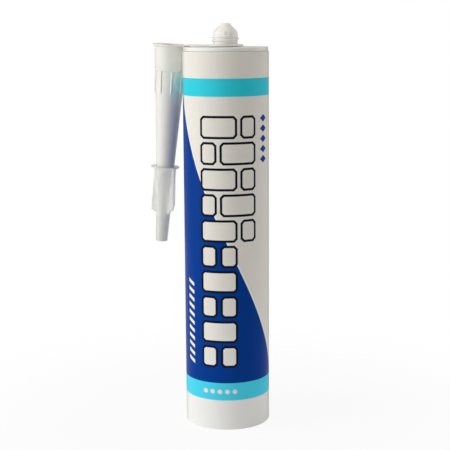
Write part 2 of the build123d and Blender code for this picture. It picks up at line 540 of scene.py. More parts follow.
    def dots(self, along: Term, height: Term) -> Term:
        """How much of a short row of dots shows, on the lower band.

        Args:
            along: place round the tube.
            height: place up the tube.

        Returns:
            The share, from 0 to 1.
        """
        near = self.dot_row.near(along)
        up = height - sum(self.lower_band) / 2
        away = (near * near + up * up).root() - self.dot_radius
        return self.inside(away.higher(self.dot_row.past(along)))

    def build(self) -> Material:
        """Makes the material.

        Returns:
            The material.
        """
        paint = Paint("printed_tube_plastic")
        x, y, height = paint.millimetres()
        away = (x * x + y * y).root()
        along = x.made("ARCTAN2", y * -1.0) * self.radius
        outside = away.ramp(*(self.radius - depth for depth in self.skin))
        streak = paint.noise(paint.vector(x * 1.6, y * 1.6, height * 0.02), 1.0, 4.0)
        even = paint.vector(x, y, height)
        grain, cloud = paint.noise(even, 2.2, 4.0), paint.noise(even, 0.05, 2.0)

        tile = self.tiles(along, height)
        outline = self.inside(tile)
        fill = tile.ramp(-self.line + self.soft, -self.line - self.soft)
        upper, lower = self.band(height, self.upper_band), self.band(height, self.lower_band)
        blue = self.field(along, height)
        plastic = paint.blend(cloud.ramp(0.3, 0.7) * 0.5 + streak * 0.3, self.white, self.cream)
        # painted floor bounce: below this height the white turns lighter and less yellow toward
        # the rear rim
        plastic = paint.blend(height.ramp(self.painted_floor_light_reach, 0.0), plastic, self.painted_floor_light)
        layers = (
            (self.field(along, height, self.keyline_rise), self.keyline),
            (blue, self.blue),
            (upper, self.cyan),
            (lower, self.pale_cyan),
            (self.diamonds(along, height), self.blue),
            (self.slants(along, height) + self.dots(along, height), self.white),
            (outline, self.ink),
            (fill, plastic),
        )
        colour = plastic
        for share, layer in layers:
            colour = paint.blend(share * outside, colour, layer)
        printed = (blue + upper + lower + outline).lower(1.0) * (1.0 - fill) * outside
        height_of_skin = streak * 1.2 + grain * 0.35 + printed * 0.6
        return paint.dressed(
            {
                # painted edge shade along the tube's sides
                "Base Color": paint.scaled(colour, 1.0 - paint.slant(0.6, 0.95) * self.painted_edge_shade),
                "Roughness": 0.40 + (grain - 0.5) * 0.1 - printed * 0.05,
                "Specular IOR Level": self.specular,
                "Normal": paint.bump(0.5, 0.012, height_of_skin),
            }
        )


Finish = MouldedPlastic | SealantPaste | PrintedPlastic


# Mesh making


@dataclass
class Skin:
    """Vertices in metres and faces of one skin."""

    points: np.ndarray
    faces: list[tuple[int, ...]]

    def mesh(self, name: str) -> Mesh:
        """Makes a Blender mesh of the skin.

        Args:
            name: the mesh's name.

        Returns:
            The mesh, shaded smooth.
        """
        made = bpy.data.meshes.new(name)
        made.from_pydata(self.points.tolist(), [], self.faces)
        made.update()
        made.shade_smooth()
        return made


class Outline:
    """The outline of a turned shape, down its outside: radius + 1j * height, in millimetres.

    A rounding has some chords and takes no more than a share of a run. A guard is the distance
    of the points that shade a run flat from its ends.
    """

    chords: int = 6
    round_share: float = 0.45
    guard: float = 0.06

    def __init__(self, corners: Sequence[Triple], closed: bool = True) -> None:
        """Rounds the corners, and adds points near both ends of long runs to shade them flat.

        Args:
            corners: (radius, height, rounding) in order.
            closed: whether the last corner joins the first.
        """
        self.closed = closed
        self.points: list[complex] = []
        points = self.rounded(corners)
        for here, run in self.runs(points):
            self.points.append(here)
            if abs(run) > 4 * self.guard:
                step = run * self.guard / abs(run)
                self.points += [here + step, here + run - step]
        if not closed:
            self.points.append(points[-1])

    def runs(self, points: Sequence[complex]) -> list[tuple[complex, complex]]:
        """Each point with the way to the next one."""
        ahead = [*points[1:], points[0]] if self.closed else points[1:]
        return [(here, there - here) for here, there in zip(points, ahead)]

    def rounded(self, corners: Sequence[Triple]) -> list[complex]:
        """Rounds the corners.

        Args:
            corners: (radius, height, rounding) in order.

        Returns:
            The outline's points.
        """
        spots = [complex(*corner[:2]) for corner in corners]
        made = []
        for i, (here, (_, _, rounding)) in enumerate(zip(spots, corners)):
            if rounding <= 0 or not self.closed and i in (0, len(spots) - 1):
                made.append(here)
                continue
            back, ahead = spots[i - 1] - here, spots[(i + 1) % len(spots)] - here
            half = abs(cmath.phase(ahead / back)) / 2
            longest = self.round_share * min(abs(back), abs(ahead))
            reach = min(rounding / math.tan(half), longest)
            back, ahead = back / abs(back), ahead / abs(ahead)
            middle = (back + ahead) / abs(back + ahead)
            centre = here + middle * reach / math.cos(half)
            start, end = here + back * reach - centre, here + ahead * reach - centre
            sweep = cmath.phase(end / start) / self.chords
            made += [centre + start * cmath.rect(1, sweep * i) for i in range(self.chords + 1)]
        return made

    def divide(self, parts_of: Callable[[complex, complex], int]) -> None:
        """Divides runs.

        Args:
            parts_of: gives the number of parts of the run between two points.
        """
        made = []
        for here, run in self.runs(self.points):
            parts = parts_of(here, here + run)
            made += [here + run * (part / parts) for part in range(parts)]
        self.points = made if self.closed else [*made, self.points[-1]]

    def refine(self, radius: float, step: float) -> None:
        """Divides the runs that lie at one radius.

        Args:
            radius: the radius.
            step: the longest run left there.
        """

        def parts_of(here: complex, there: complex) -> int:
            """Counts the parts of a run at that radius.

            Args:
                here: its start.
                there: its end.

            Returns:
                The count.
            """
            off = max(abs(here.real - radius), abs(there.real - radius))
            return max(1, math.ceil(abs(there - here) / step)) if off < step else 1

        self.divide(parts_of)

    def level(self, heights: Sequence[float]) -> None:
        """Adds a point wherever the outline crosses a height.

        Args:
            heights: the heights.
        """
        made = []
        for here, run in self.runs(self.points):
            shares = [(height - here.imag) / (run.imag or math.inf) for height in heights]
            made += [here, *(here + run * share for share in sorted(shares) if 0 < share < 1)]
        self.points = made if self.closed else [*made, self.points[-1]]

    def edged(self, edge: Callable[[float, float], float], step: float) -> list[Triple]:
        """Divides the runs that carry a plate and finds the plate's edge at each point.

        Args:
            edge: gives the radius of the plate's edge at a radius and height.
            step: the longest run left under a plate.

        Returns:
            (radius, height, radius of the plate's edge) rows.
        """

        def parts_of(here: complex, there: complex) -> int:
            """Counts the parts of a run under a plate.

            Args:
                here: its start.
                there: its end.

            Returns:
                The count.
            """
            middle = (here + there) / 2
            plated = edge(middle.real, middle.imag) > middle.real
            return max(1, math.ceil(abs(there - here) / step)) if plated else 1

        self.divide(parts_of)
        return [(spot.real, spot.imag, edge(spot.real, spot.imag)) for spot in self.points]

    def turned(self, segments: int) -> Skin:
        """Turns the outline about Z.

        Args:
            segments: the number of columns round the axis.

        Returns:
            The closed skin; the ends of an open outline are its poles.
        """
        columns = range(segments)
        angles = np.array(columns) * 2 * math.pi / segments
        round_axis = np.stack((np.cos(angles), np.sin(angles), angles * 0), 1)
        points: list[np.ndarray] = []
        rings: list[list[int]] = []
        total = 0
        for i, spot in enumerate(self.points):
            pole = not self.closed and i in (0, len(self.points) - 1)
            count = 1 if pole else segments
            points.append(round_axis[:count] * spot.real + (0.0, 0.0, spot.imag))
            rings.append([total + a % count for a in columns])
            total += count
        pairs = list(zip(rings, [*rings[1:], rings[0]] if self.closed else rings[1:]))
        faces = [
            tuple(dict.fromkeys((upper[b], upper[a], lower[a], lower[b])))
            for upper, lower in pairs
            for a, b in zip(columns, [*columns[1:], 0])
        ]
        return Skin(np.concatenate(points) * MM, faces)


@dataclass(frozen=True)
class Flutes:
    """Plates that stand evenly round a turned skin and grow out of it through fillets.

    Sizes are in millimetres. One sector, with its plate along the X axis, is made here, and a
    ring of copies of it closes the skin.
    """

    count: int
    thickness: float
    fillet: float
    edge: float
    base: float
    arc_columns: int
    quarter_steps: int = 4
    side_shares: tuple[float, float] = (0.12, 0.88)

    def half(self, radius: float, outer: float) -> list[tuple[float, float]]:
        """Half of one sector's cross-section, from its boundary to the plate's middle.

        Args:
            radius: the radius of the turned skin.
            outer: the radius of the plate's edge, or no more than radius where there is none.

        Returns:
            (across, out) points.
        """
        side = self.thickness / 2
        boundary = math.pi / self.count
        stand = outer - math.sqrt(max(radius**2 - side**2, 0.0))
        bare = outer <= radius or radius < side + self.fillet
        floor = self.base if bare else radius
        fillet = self.fillet if bare else min(self.fillet, stand / 2)
        edge = self.edge if bare else min(self.edge, stand / 2, side)
        start = math.asin((side + fillet) / floor)
        columns = range(self.arc_columns)
        arc = [boundary + (start - boundary) * i / self.arc_columns for i in columns]
        made = [(floor * math.sin(turn), floor * math.cos(turn)) for turn in arc]
        foot = floor * math.cos(start)
        low, high = foot + fillet, max(outer, floor) - edge
        bends = [math.pi / 2 / self.quarter_steps * i for i in range(self.quarter_steps + 1)]
        for turn in bends:
            drop = fillet * (1 - math.cos(turn))
            made.append((side + fillet * (1 - math.sin(turn)), foot + drop))
        made.extend((side, low + (high - low) * share) for share in self.side_shares)
        for turn in bends:
            made.append((side - edge * (1 - math.cos(turn)), high + edge * math.sin(turn)))
        made.append((0.0, high + edge))
        if bare:
            turns = [math.asin(min(across / self.base, 1.0)) for across, _ in made]
            made = [(radius * math.sin(turn), radius * math.cos(turn)) for turn in turns]
        return made

    def sector(self, rows: Sequence[Triple], closed: bool) -> Skin:
        """One sector of the skin, open along its two boundaries.

        Args:
            rows: (radius, height, outer) rows, in order along the outline.
            closed: whether the last row joins the first.

        Returns:
            The sector.
        """
        points = []
        for radius, height, outer in rows:
            right = self.half(radius, outer)
            whole = right + [(-across, out) for across, out in reversed(right[:-1])]
            points.extend((out, across, height) for across, out in whole)
        size = len(points) // len(rows)
        pairs = [(row, row + 1) for row in range(len(rows) - 1)]
        if closed:
            pairs.append((len(rows) - 1, 0))
        faces = [
            (upper * size + a, upper * size + a + 1, lower * size + a + 1, lower * size + a)
            for upper, lower in pairs
            for a in range(size - 1)
        ]
        return Skin(np.array(points) * MM, faces)


# Geometry Nodes


class NodeForm(Wiring):
    """A Geometry Nodes tree with named inputs, run on one mesh or curve into a plain mesh."""

    material: Material | None = None

    def __init__(self, name: str, numbers: Sequence[str]) -> None:
        """Starts the tree.

        Args:
            name: the tree's name.
            numbers: the names of its number inputs.
        """
        super().__init__(bpy.data.node_groups.new(name, "GeometryNodeTree"))
        self.tree.is_modifier = True
        inputs = [("Geometry", "Geometry"), *((number, "Float") for number in numbers)]
        face = self.tree.interface
        for label, kind in (*inputs, ("Material", "Material")):
            face.new_socket(label, in_out="INPUT", socket_type=f"NodeSocket{kind}")
        face.new_socket("Geometry", in_out="OUTPUT", socket_type="NodeSocketGeometry")
        self.given = self.node("NodeGroupInput").outputs

    def number(self, name: str) -> Term:
        """One of the named inputs."""
        return Term(self, self.given[name])

    def finish(self, last: bpy.types.Node) -> None:
        """Ends the tree in Realize Instances and Set Material.

        Args:
            last: the last node before them.
        """
        real = self.node("GeometryNodeRealizeInstances", None, {0: last.outputs[0]})
        values = {"Geometry": real.outputs[0], "Material": self.given["Material"]}
        dressed = self.node("GeometryNodeSetMaterial", None, values)
        self.node("NodeGroupOutput", None, {0: dressed.outputs[0]})

    def run(self, source: bpy.types.ID, values: dict[str, float]) -> Mesh:
        """Runs the tree, which gives its result the finish in hand.

        Args:
            source: the mesh or curve that it starts from.
            values: the number inputs by name.

        Returns:
            The result as a plain mesh.
        """
        given = {**values, "Material": self.material}
        holder = added("form", source)
        modifier = holder.modifiers.new("form", "NODES")
        modifier.node_group = self.tree
        for item in self.tree.interface.items_tree:
            if item.in_out == "INPUT" and item.name in given:
                modifier[item.identifier] = given[item.name]
        graph = bpy.context.evaluated_depsgraph_get()
        made = bpy.data.meshes.new_from_object(holder.evaluated_get(graph))
        holder.modifiers.remove(modifier)
        bpy.data.objects.remove(holder)
        return made


def added(name: str, data: bpy.types.ID | None) -> bpy.types.Object:
    """Puts a new object into the scene.

    Args:
        name: its name.
        data: its mesh, curve, lamp or camera.

    Returns:
        The object.
    """
    made = bpy.data.objects.new(name, data)
    bpy.context.scene.collection.objects.link(made)
    return made


class RingForm(NodeForm):
    """Sets copies of a mesh evenly round the Z axis, welded where they meet."""

    weld: float = 0.002

    def __init__(self) -> None:
        """Builds the tree."""
        super().__init__("ring_of_copies", ("Count", "First Turn"))
        count = self.number("Count")
        spots = self.node("GeometryNodeMeshLine", None, {"Count": count, "Offset": (0, 0, 0)})
        index = Term(self, self.node("GeometryNodeInputIndex").outputs[0])
        turn = index * (2 * math.pi) / count + self.number("First Turn")
        values = {
            "Points": spots.outputs[0],
            "Instance": self.given["Geometry"],
            "Rotation": self.vector(0.0, 0.0, turn),
        }
        self.finish(self.node("GeometryNodeInstanceOnPoints", None, values))

    def copied(self, skin: Skin, count: int, degrees: float) -> Mesh:
        """Copies a skin round the axis and closes the seams between the copies.

        Args:
            skin: what is copied.
            count: the number of copies.
            degrees: the turn of the first copy.

        Returns:
            The welded mesh, with every face turned outwards.
        """
        values = {"Count": float(count), "First Turn": math.radians(degrees)}
        mesh = self.run(skin.mesh("copied"), values)
        work = bmesh.new()
        work.from_mesh(mesh)
        bmesh.ops.remove_doubles(work, verts=work.verts, dist=self.weld * MM)
        bmesh.ops.recalc_face_normals(work, faces=work.faces)
        work.to_mesh(mesh)
        work.free()
        return mesh


@dataclass(frozen=True)
class Thread:
    """The sizes of a helical thread, in millimetres; a negative depth rises inwards."""

    radius: float
    start: float
    turns: float
    depth: float
    pitch: float = 2.1
    foot: float = 1.5
    crest: float = 0.45


class ThreadForm(NodeForm):
    """Raises a helical thread on a turned surface, with run-outs at both ends.

    The flanks ease in and out between two shares of their width, a run-out takes a share of a
    turn, and only what lies within the grip of the surface moves, in millimetres.
    """

    flank_shares: tuple[float, float] = (-0.12, 1.12)
    run_out_share: float = 0.16
    grip: tuple[float, float] = (0.4, 0.2)

    def __init__(self) -> None:
        """Builds the tree."""
        names = ("Radius", "Start", "Pitch", "Turns", "Depth", "Foot", "Crest")
        super().__init__("helical_thread", names)
        radius, start, pitch, turns, depth, foot, crest = (self.number(name) for name in names)
        x, y, z = self.split(self.node("GeometryNodeInputPosition").outputs[0])
        away = (x * x + y * y).root()
        angle = (y.made("ARCTAN2", x) / (2 * math.pi)).remainder(1.0)
        climb = (z - start) / pitch - angle
        last = (turns - angle).whole()
        lap = (climb + 0.5).whole().higher(0.0).lower(last)
        off = abs(climb - lap) * pitch
        flank = (foot - crest) / 2
        rise = ((foot / 2 - off) / flank).ramp(*self.flank_shares)
        done = lap + angle
        fade = done.ramp(0.0, self.run_out_share) * (turns - done).ramp(0.0, self.run_out_share)
        near = abs(away - radius).ramp(*(reach * MM for reach in self.grip))
        push = rise * fade * near * depth / away
        shift = self.vector(x * push, y * push, 0.0)
        values = {"Geometry": self.given["Geometry"], "Offset": shift}
        self.finish(self.node("GeometryNodeSetPosition", None, values))

    def raised(self, mesh: Mesh, thread: Thread) -> Mesh:
        """Raises a thread on a mesh.

        Args:
            mesh: the turned surface.
            thread: the thread's sizes.

        Returns:
            The threaded mesh.
        """
        names = ("Radius", "Start", "Pitch", "Depth", "Foot", "Crest")
        lengths = {name: getattr(thread, name.lower()) * MM for name in names}
        return self.run(mesh, {**lengths, "Turns": thread.turns})


class StripForm(NodeForm):
    """Sweeps a flat strip with rounded edges along a path."""

    def __init__(self) -> None:
        """Builds the tree."""
        super().__init__("flat_strip", ("Width", "Thickness", "Round"))
        size = {0: self.number("Width"), 1: self.number("Thickness")}
        section = self.node("GeometryNodeCurvePrimitiveQuadrilateral", None, size)
        bend = {"Curve": section.outputs[0], "Radius": self.number("Round")}
        soft = self.node("GeometryNodeFilletCurve", None, bend)
        path = {"Curve": self.given["Geometry"]}
        level = self.node("GeometryNodeSetCurveNormal", {"mode": "Z_UP"}, path)
        values = {
            "Curve": level.outputs[0],
            "Profile Curve": soft.outputs[0],
            "Fill Caps": True,
        }
        self.finish(self.node("GeometryNodeCurveToMesh", None, values))


class Forms:
    """The Geometry Nodes trees that the pieces share."""

    def __init__(self) -> None:
        """Builds the three trees."""
        self.ring = RingForm()
        self.thread = ThreadForm()
        self.strip = StripForm()

    def take(self, material: Material) -> None:
        """Takes in hand the finish that the trees give from now on."""
        for form in (self.ring, self.thread, self.strip):
            form.material = material


# Sub-assemblies


class Part(Enum):
    """The pieces that this scene shows, with the CAD node, body and slot of each."""

    TUBE = ("printed_tube", "cartridge_tube", "cartridge", "tube_plastic")
    HEAD = ("threaded_head", "cartridge_head", "cartridge", "head_plastic")
    NOZZLE = ("nozzle_and_strap", "nozzle", "nozzle", "nozzle_plastic")
    CAP = ("winged_cap", "nozzle_cap", "nozzle_cap", "cap_plastic")
    PLUNGER = ("lipped_plunger", "plunger", "plunger", "plunger_plastic")
    SEALANT = ("sealant_column", "sealant", "cartridge", "sealant_paste")


class Piece:
    """A piece that stands for its CAD node; each sub-assembly gives it sizes and meshes."""

    part: Part

    def meshes(self, forms: Forms) -> list[Mesh]:
        """Builds the meshes in the row frame.

        Args:
            forms: the Geometry Nodes trees.

        Returns:
            The meshes.
        """
        raise NotImplementedError

    def build(self, forms: Forms, finish: Finish) -> bpy.types.Object:
        """Joins the meshes into one finished piece, in place of its CAD node.

        Args:
            forms: the Geometry Nodes trees.
            finish: the finish.

        Returns:
            The piece.
        """
        name, node, body, slot = self.part.value
        material = finish.build()
        forms.take(material)
        joined = bmesh.new()
        for mesh in self.meshes(forms):
            joined.from_mesh(mesh)
        for face in joined.faces:
            face.smooth = True
            face.material_index = 0
        whole = bpy.data.meshes.new(name)
        joined.to_mesh(whole)
        joined.free()
        whole.materials.clear()
        whole.materials.append(material)
        piece = added(name, whole)
        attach(piece, body)
        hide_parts(node)
        return piece


@dataclass
class Tube(Piece):
    """The plain printed tube, open at the rear."""

    part = Part.TUBE
    radius: float = 24.75
    bore: float = 23.25
    length: float = 217.5
    rim_round: float = 0.3
    lead_in: float = 0.7
    front_round: float = 0.45
    segments: int = 224

    def meshes(self, forms: Forms) -> list[Mesh]:
        """Builds the tube.

        Args:
            forms: the Geometry Nodes trees; not used.

        Returns:
            The tube's mesh.
        """
        corners = [
            (self.bore, self.length, 0.05),
            (self.radius, self.length, self.front_round),
            (self.radius, 0.0, self.rim_round),
            (self.bore + self.lead_in, 0.0, 0.1),
            (self.bore, self.lead_in, 0.2),
        ]
        return [Outline(corners).turned(self.segments).mesh("tube")]


@dataclass
class Head(Piece):
    """Collar, plug and closed nipple, with the thread and two small lugs under the dome."""

    part = Part.HEAD
    tube_length: float = 217.5
    collar_radius: float = 24.4
    collar_height: float = 2.4
    collar_seam: float = 0.12
    plate: float = 2.2
    plug_radius: float = 23.22
    plug_wall: float = 1.6
    plug_depth: float = 6.5
    root_radius: float = 6.93
    nipple_height: float = 13.3
    shoulder_radius: float = 6.58
    shoulder_drop: float = 4.5
    shoulder_height: float = 1.2
    tip_radius: float = 2.15
    wall: float = 1.3
    thread_start: float = 222.22
    thread_turns: float = 1.9
    thread_depth: float = 0.82
    lug_turns: tuple[float, float] = (-95.3, -71.9)
    lug_height: float = 227.4
    lug_half_width: float = 0.45
    lug_half_height: float = 0.75
    lug_rise: float = 0.35
    lug_slope: float = 0.25
    fine_steps: tuple[float, float] = (0.09, 0.15)
    segments: int = 256

    def lugs(self, skin: Skin) -> Skin:
        """Raises two small lugs between the thread and the dome.

        Args:
            skin: the head's skin.

        Returns:
            The skin with the lugs.
        """
        x, y, z = skin.points.T / MM
        away = np.hypot(x, y)
        push = np.zeros(len(away))
        for turn in self.lug_turns:
            off = (np.degrees(np.arctan2(y, x)) - turn + 180) % 360 - 180
            across = np.abs(np.radians(off) * away) - self.lug_half_width
            above = np.abs(z - self.lug_height) - self.lug_half_height
            inside = np.clip(-np.maximum(across, above) / self.lug_slope + 0.5, 0, 1)
            push = np.maximum(push, inside * (away > self.root_radius - self.wall / 2))
        grown = 1 + push * self.lug_rise / np.maximum(away, self.wall)
        return Skin(np.stack((x * grown, y * grown, z), 1) * MM, skin.faces)

    def meshes(self, forms: Forms) -> list[Mesh]:
        """Builds the head.

        Args:
            forms: the Geometry Nodes trees.

        Returns:
            The head's mesh.
        """
        top = self.tube_length + self.collar_height
        tip = top + self.nipple_height
        shoulder = tip - self.shoulder_drop
        inside = top - self.plate
        channel = self.root_radius - self.wall
        plug_inner = self.plug_radius - self.plug_wall
        corners = [
            (0.0, tip, 0.0),
            (self.tip_radius, tip, 0.6),
            (self.shoulder_radius, shoulder, 2.4),
            (self.root_radius, shoulder - self.shoulder_height, 0.5),
            (self.root_radius, top, 0.5),
            (self.collar_radius, top, 0.45),
            (self.collar_radius, self.tube_length + self.collar_seam, 0.1),
            (self.plug_radius, self.tube_length, 0.0),
            (self.plug_radius, self.tube_length - self.plug_depth, 0.3),
            (plug_inner, self.tube_length - self.plug_depth, 0.3),
            (plug_inner, inside, 0.5),
            (channel, inside, 0.6),
            (channel, shoulder - self.shoulder_height, 0.5),
            (self.shoulder_radius - self.wall, shoulder, 1.5),
            (self.tip_radius - self.wall / 2, tip - self.wall, 0.3),
            (0.0, tip - self.wall, 0.0),
        ]
        outline = Outline(corners, closed=False)
        for radius, step in zip((self.root_radius, self.shoulder_radius), self.fine_steps):
            outline.refine(radius, step)
        skin = self.lugs(outline.turned(self.segments))
        thread = Thread(self.root_radius, self.thread_start, self.thread_turns, self.thread_depth)
        return [forms.thread.raised(skin.mesh("head"), thread)]


@dataclass
class Hanging:
    """The nozzle's own frame: mouth at zero and tip down, hung beside the tube and tilted."""

    offset: float = 35.60
    top: float = 221.3
    tilt: float = 4.3
    azimuth: float = -27.4

    def turn(self) -> Matrix:
        """The turn from the left of the tube to the nozzle's side."""
        return Matrix.Rotation(math.radians(self.azimuth), 4, "Z")

    def matrix(self) -> Matrix:
        """From the nozzle's own frame to the row frame, in metres."""
        place = Matrix.Translation(Vector((-self.offset * MM, 0, self.top * MM)))
        return self.turn() @ place @ Matrix.Rotation(math.radians(self.tilt), 4, "Y")


@dataclass
class Nozzle(Piece):
    """Flange, threaded base, grip ribs and long taper, with the strap and the swivel ring."""

    part = Part.NOZZLE
    hanging: Hanging
    length: float = 94.0
    mouth_radius: float = 7.95
    mouth_chamfer: float = 0.5
    flange_radius: float = 11.0
    flange_thickness: float = 0.95
    flange_foot: float = 0.35
    base_mouth_radius: float = 9.65
    base_foot_radius: float = 9.10
    base_length: float = 15.4
    core_top_radius: float = 8.45
    core_foot_radius: float = 8.05
    rib_foot: float = 27.9
    rib_width: float = 1.0
    rib_fillet: float = 0.15
    rib_round: float = 0.42
    rib_run_out: float = 0.9
    rib_point: float = 2.5
    rib_margin: float = 0.001
    rib_tail: float = 0.1
    rib_step: float = 0.5
    ribs: int = 8
    arc_columns: int = 10
    rib_turn: float = 37.8
    tip_radius: float = 4.02
    tip_wall: float = 0.92
    wall: float = 1.15
    thread_zone: float = 9.5
    thread_turns: float = 2.4
    thread_entry: float = 1.1
    thread_depth: float = 0.82
    thread_step: float = 0.11
    ring_bottom: float = 220.2
    ring_thickness: float = 1.15
    ring_radius: float = 10.1
    ring_bore: float = 7.01
    strap_width: float = 6.4
    strap_thinning: float = 0.1
    strap_round: float = 0.3
    strap_flat: Triple = (8.2, 16.0, 23.6)
    strap_bend: tuple[float, float] = (25.2, 0.06)
    strap_end: float = 27.2
    strap_joint: float = 26.5
    segments: int = 192

    def rib_edge(self, radius: float, height: float) -> float:
        """The radius of a rib's edge at a place on the outline.

        Args:
            radius: the outline's own radius there.
            height: the height there.

        Returns:
            The rib's radius, or the outline's own where there is no rib.
        """
        top, foot = -self.base_length, -self.rib_foot
        end = foot - self.rib_run_out
        if height > top + self.rib_margin or height < end:
            return radius
        share = (top - height) / (top - foot)
        core = self.core_top_radius + (self.core_foot_radius - self.core_top_radius) * share
        if radius < core - self.wall / 2:
            return radius
        rise = self.base_foot_radius - self.core_top_radius
        point = min(1.0, (height - end) / (self.rib_point * self.rib_run_out))
        return max(radius, core + rise * (1 - (1 - point) ** 2))

    def sector(self) -> Skin:
        """Builds one sector with its grip rib, without the thread.

        Returns:
            The sector, in the nozzle's own frame.
        """
        throat = self.core_top_radius - self.wall
        corners = [
            (self.mouth_radius + self.mouth_chamfer, 0.0, 0.1),
            (self.flange_radius, 0.0, 0.28),
            (self.flange_radius, -self.flange_thickness, 0.28),
            (self.base_mouth_radius, -self.flange_thickness - self.flange_foot, 0.5),
            (self.base_foot_radius, -self.base_length, 0.22),
            (self.core_top_radius, -self.base_length, 0.12),
            (self.core_foot_radius, -self.rib_foot, 6.0),
            (self.tip_radius, -self.length, 0.25),
            (self.tip_radius - self.tip_wall, -self.length, 0.15),
            (throat, -self.base_length, 2.0),
            (throat, -self.thread_zone - self.mouth_radius + throat, 0.3),
            (self.mouth_radius, -self.thread_zone, 0.2),
            (self.mouth_radius, -self.mouth_chamfer, 0.1),
        ]
        outline = Outline(corners)
        outline.refine(self.mouth_radius, self.thread_step)
        rib_end = -self.rib_foot - self.rib_run_out
        outline.level((rib_end, rib_end - self.rib_tail))
        sizes = (self.rib_width, self.rib_fillet, self.rib_round, self.core_top_radius)
        flutes = Flutes(self.ribs, *sizes, self.arc_columns)
        return flutes.sector(outline.edged(self.rib_edge, self.rib_step), closed=True)

    def strap(self, strip: StripForm) -> Mesh:
        """Builds the flat strap from the swivel ring to the flange, in the row frame.

        Args:
            strip: the tree that sweeps it.

        Returns:
            The strap's mesh.
        """
        middle = self.ring_bottom + self.ring_thickness / 2
        drop = (self.hanging.offset - self.strap_joint) * math.tan(math.radians(self.hanging.tilt))
        joint = self.hanging.top - drop - self.flange_thickness / 2
        bend, dip = self.strap_bend
        path = [(along, middle) for along in self.strap_flat]
        path += [(bend, middle - dip), (self.strap_end, joint)]
        curve = bpy.data.curves.new("strap_path", "CURVE")
        curve.dimensions = "3D"
        spline = curve.splines.new("POLY")
        spline.points.add(len(path) - 1)
        for point, (along, height) in zip(spline.points, path):
            point.co = (*(self.hanging.turn() @ Vector((-along * MM, 0, height * MM))), 1.0)
        values = {
            "Width": self.strap_width * MM,
            "Thickness": (self.ring_thickness - self.strap_thinning) * MM,
            "Round": self.strap_round * MM,
        }
        return strip.run(curve, values)

    def ring(self) -> Skin:
        """Builds the swivel ring round the nipple's neck.

        Returns:
            The ring, in the row frame.
        """
        top = self.ring_bottom + self.ring_thickness
        corners = [
            (self.ring_bore, top, 0.2),
            (self.ring_radius, top, 0.35),
            (self.ring_radius, self.ring_bottom, 0.3),
            (self.ring_bore, self.ring_bottom, 0.2),
        ]
        return Outline(corners).turned(self.segments)

    def meshes(self, forms: Forms) -> list[Mesh]:
        """Builds the nozzle, its strap and its ring.

        Args:
            forms: the Geometry Nodes trees.

        Returns:
            The three meshes.
        """
        start = -self.thread_entry - Thread.pitch * self.thread_turns - Thread.foot / 2
        thread = Thread(self.mouth_radius, start, self.thread_turns, -self.thread_depth)
        ribbed = forms.ring.copied(self.sector(), self.ribs, self.rib_turn)
        threaded = forms.thread.raised(ribbed, thread)
        threaded.transform(self.hanging.matrix())
        return [threaded, self.strap(forms.strip), self.ring().mesh("swivel_ring")]


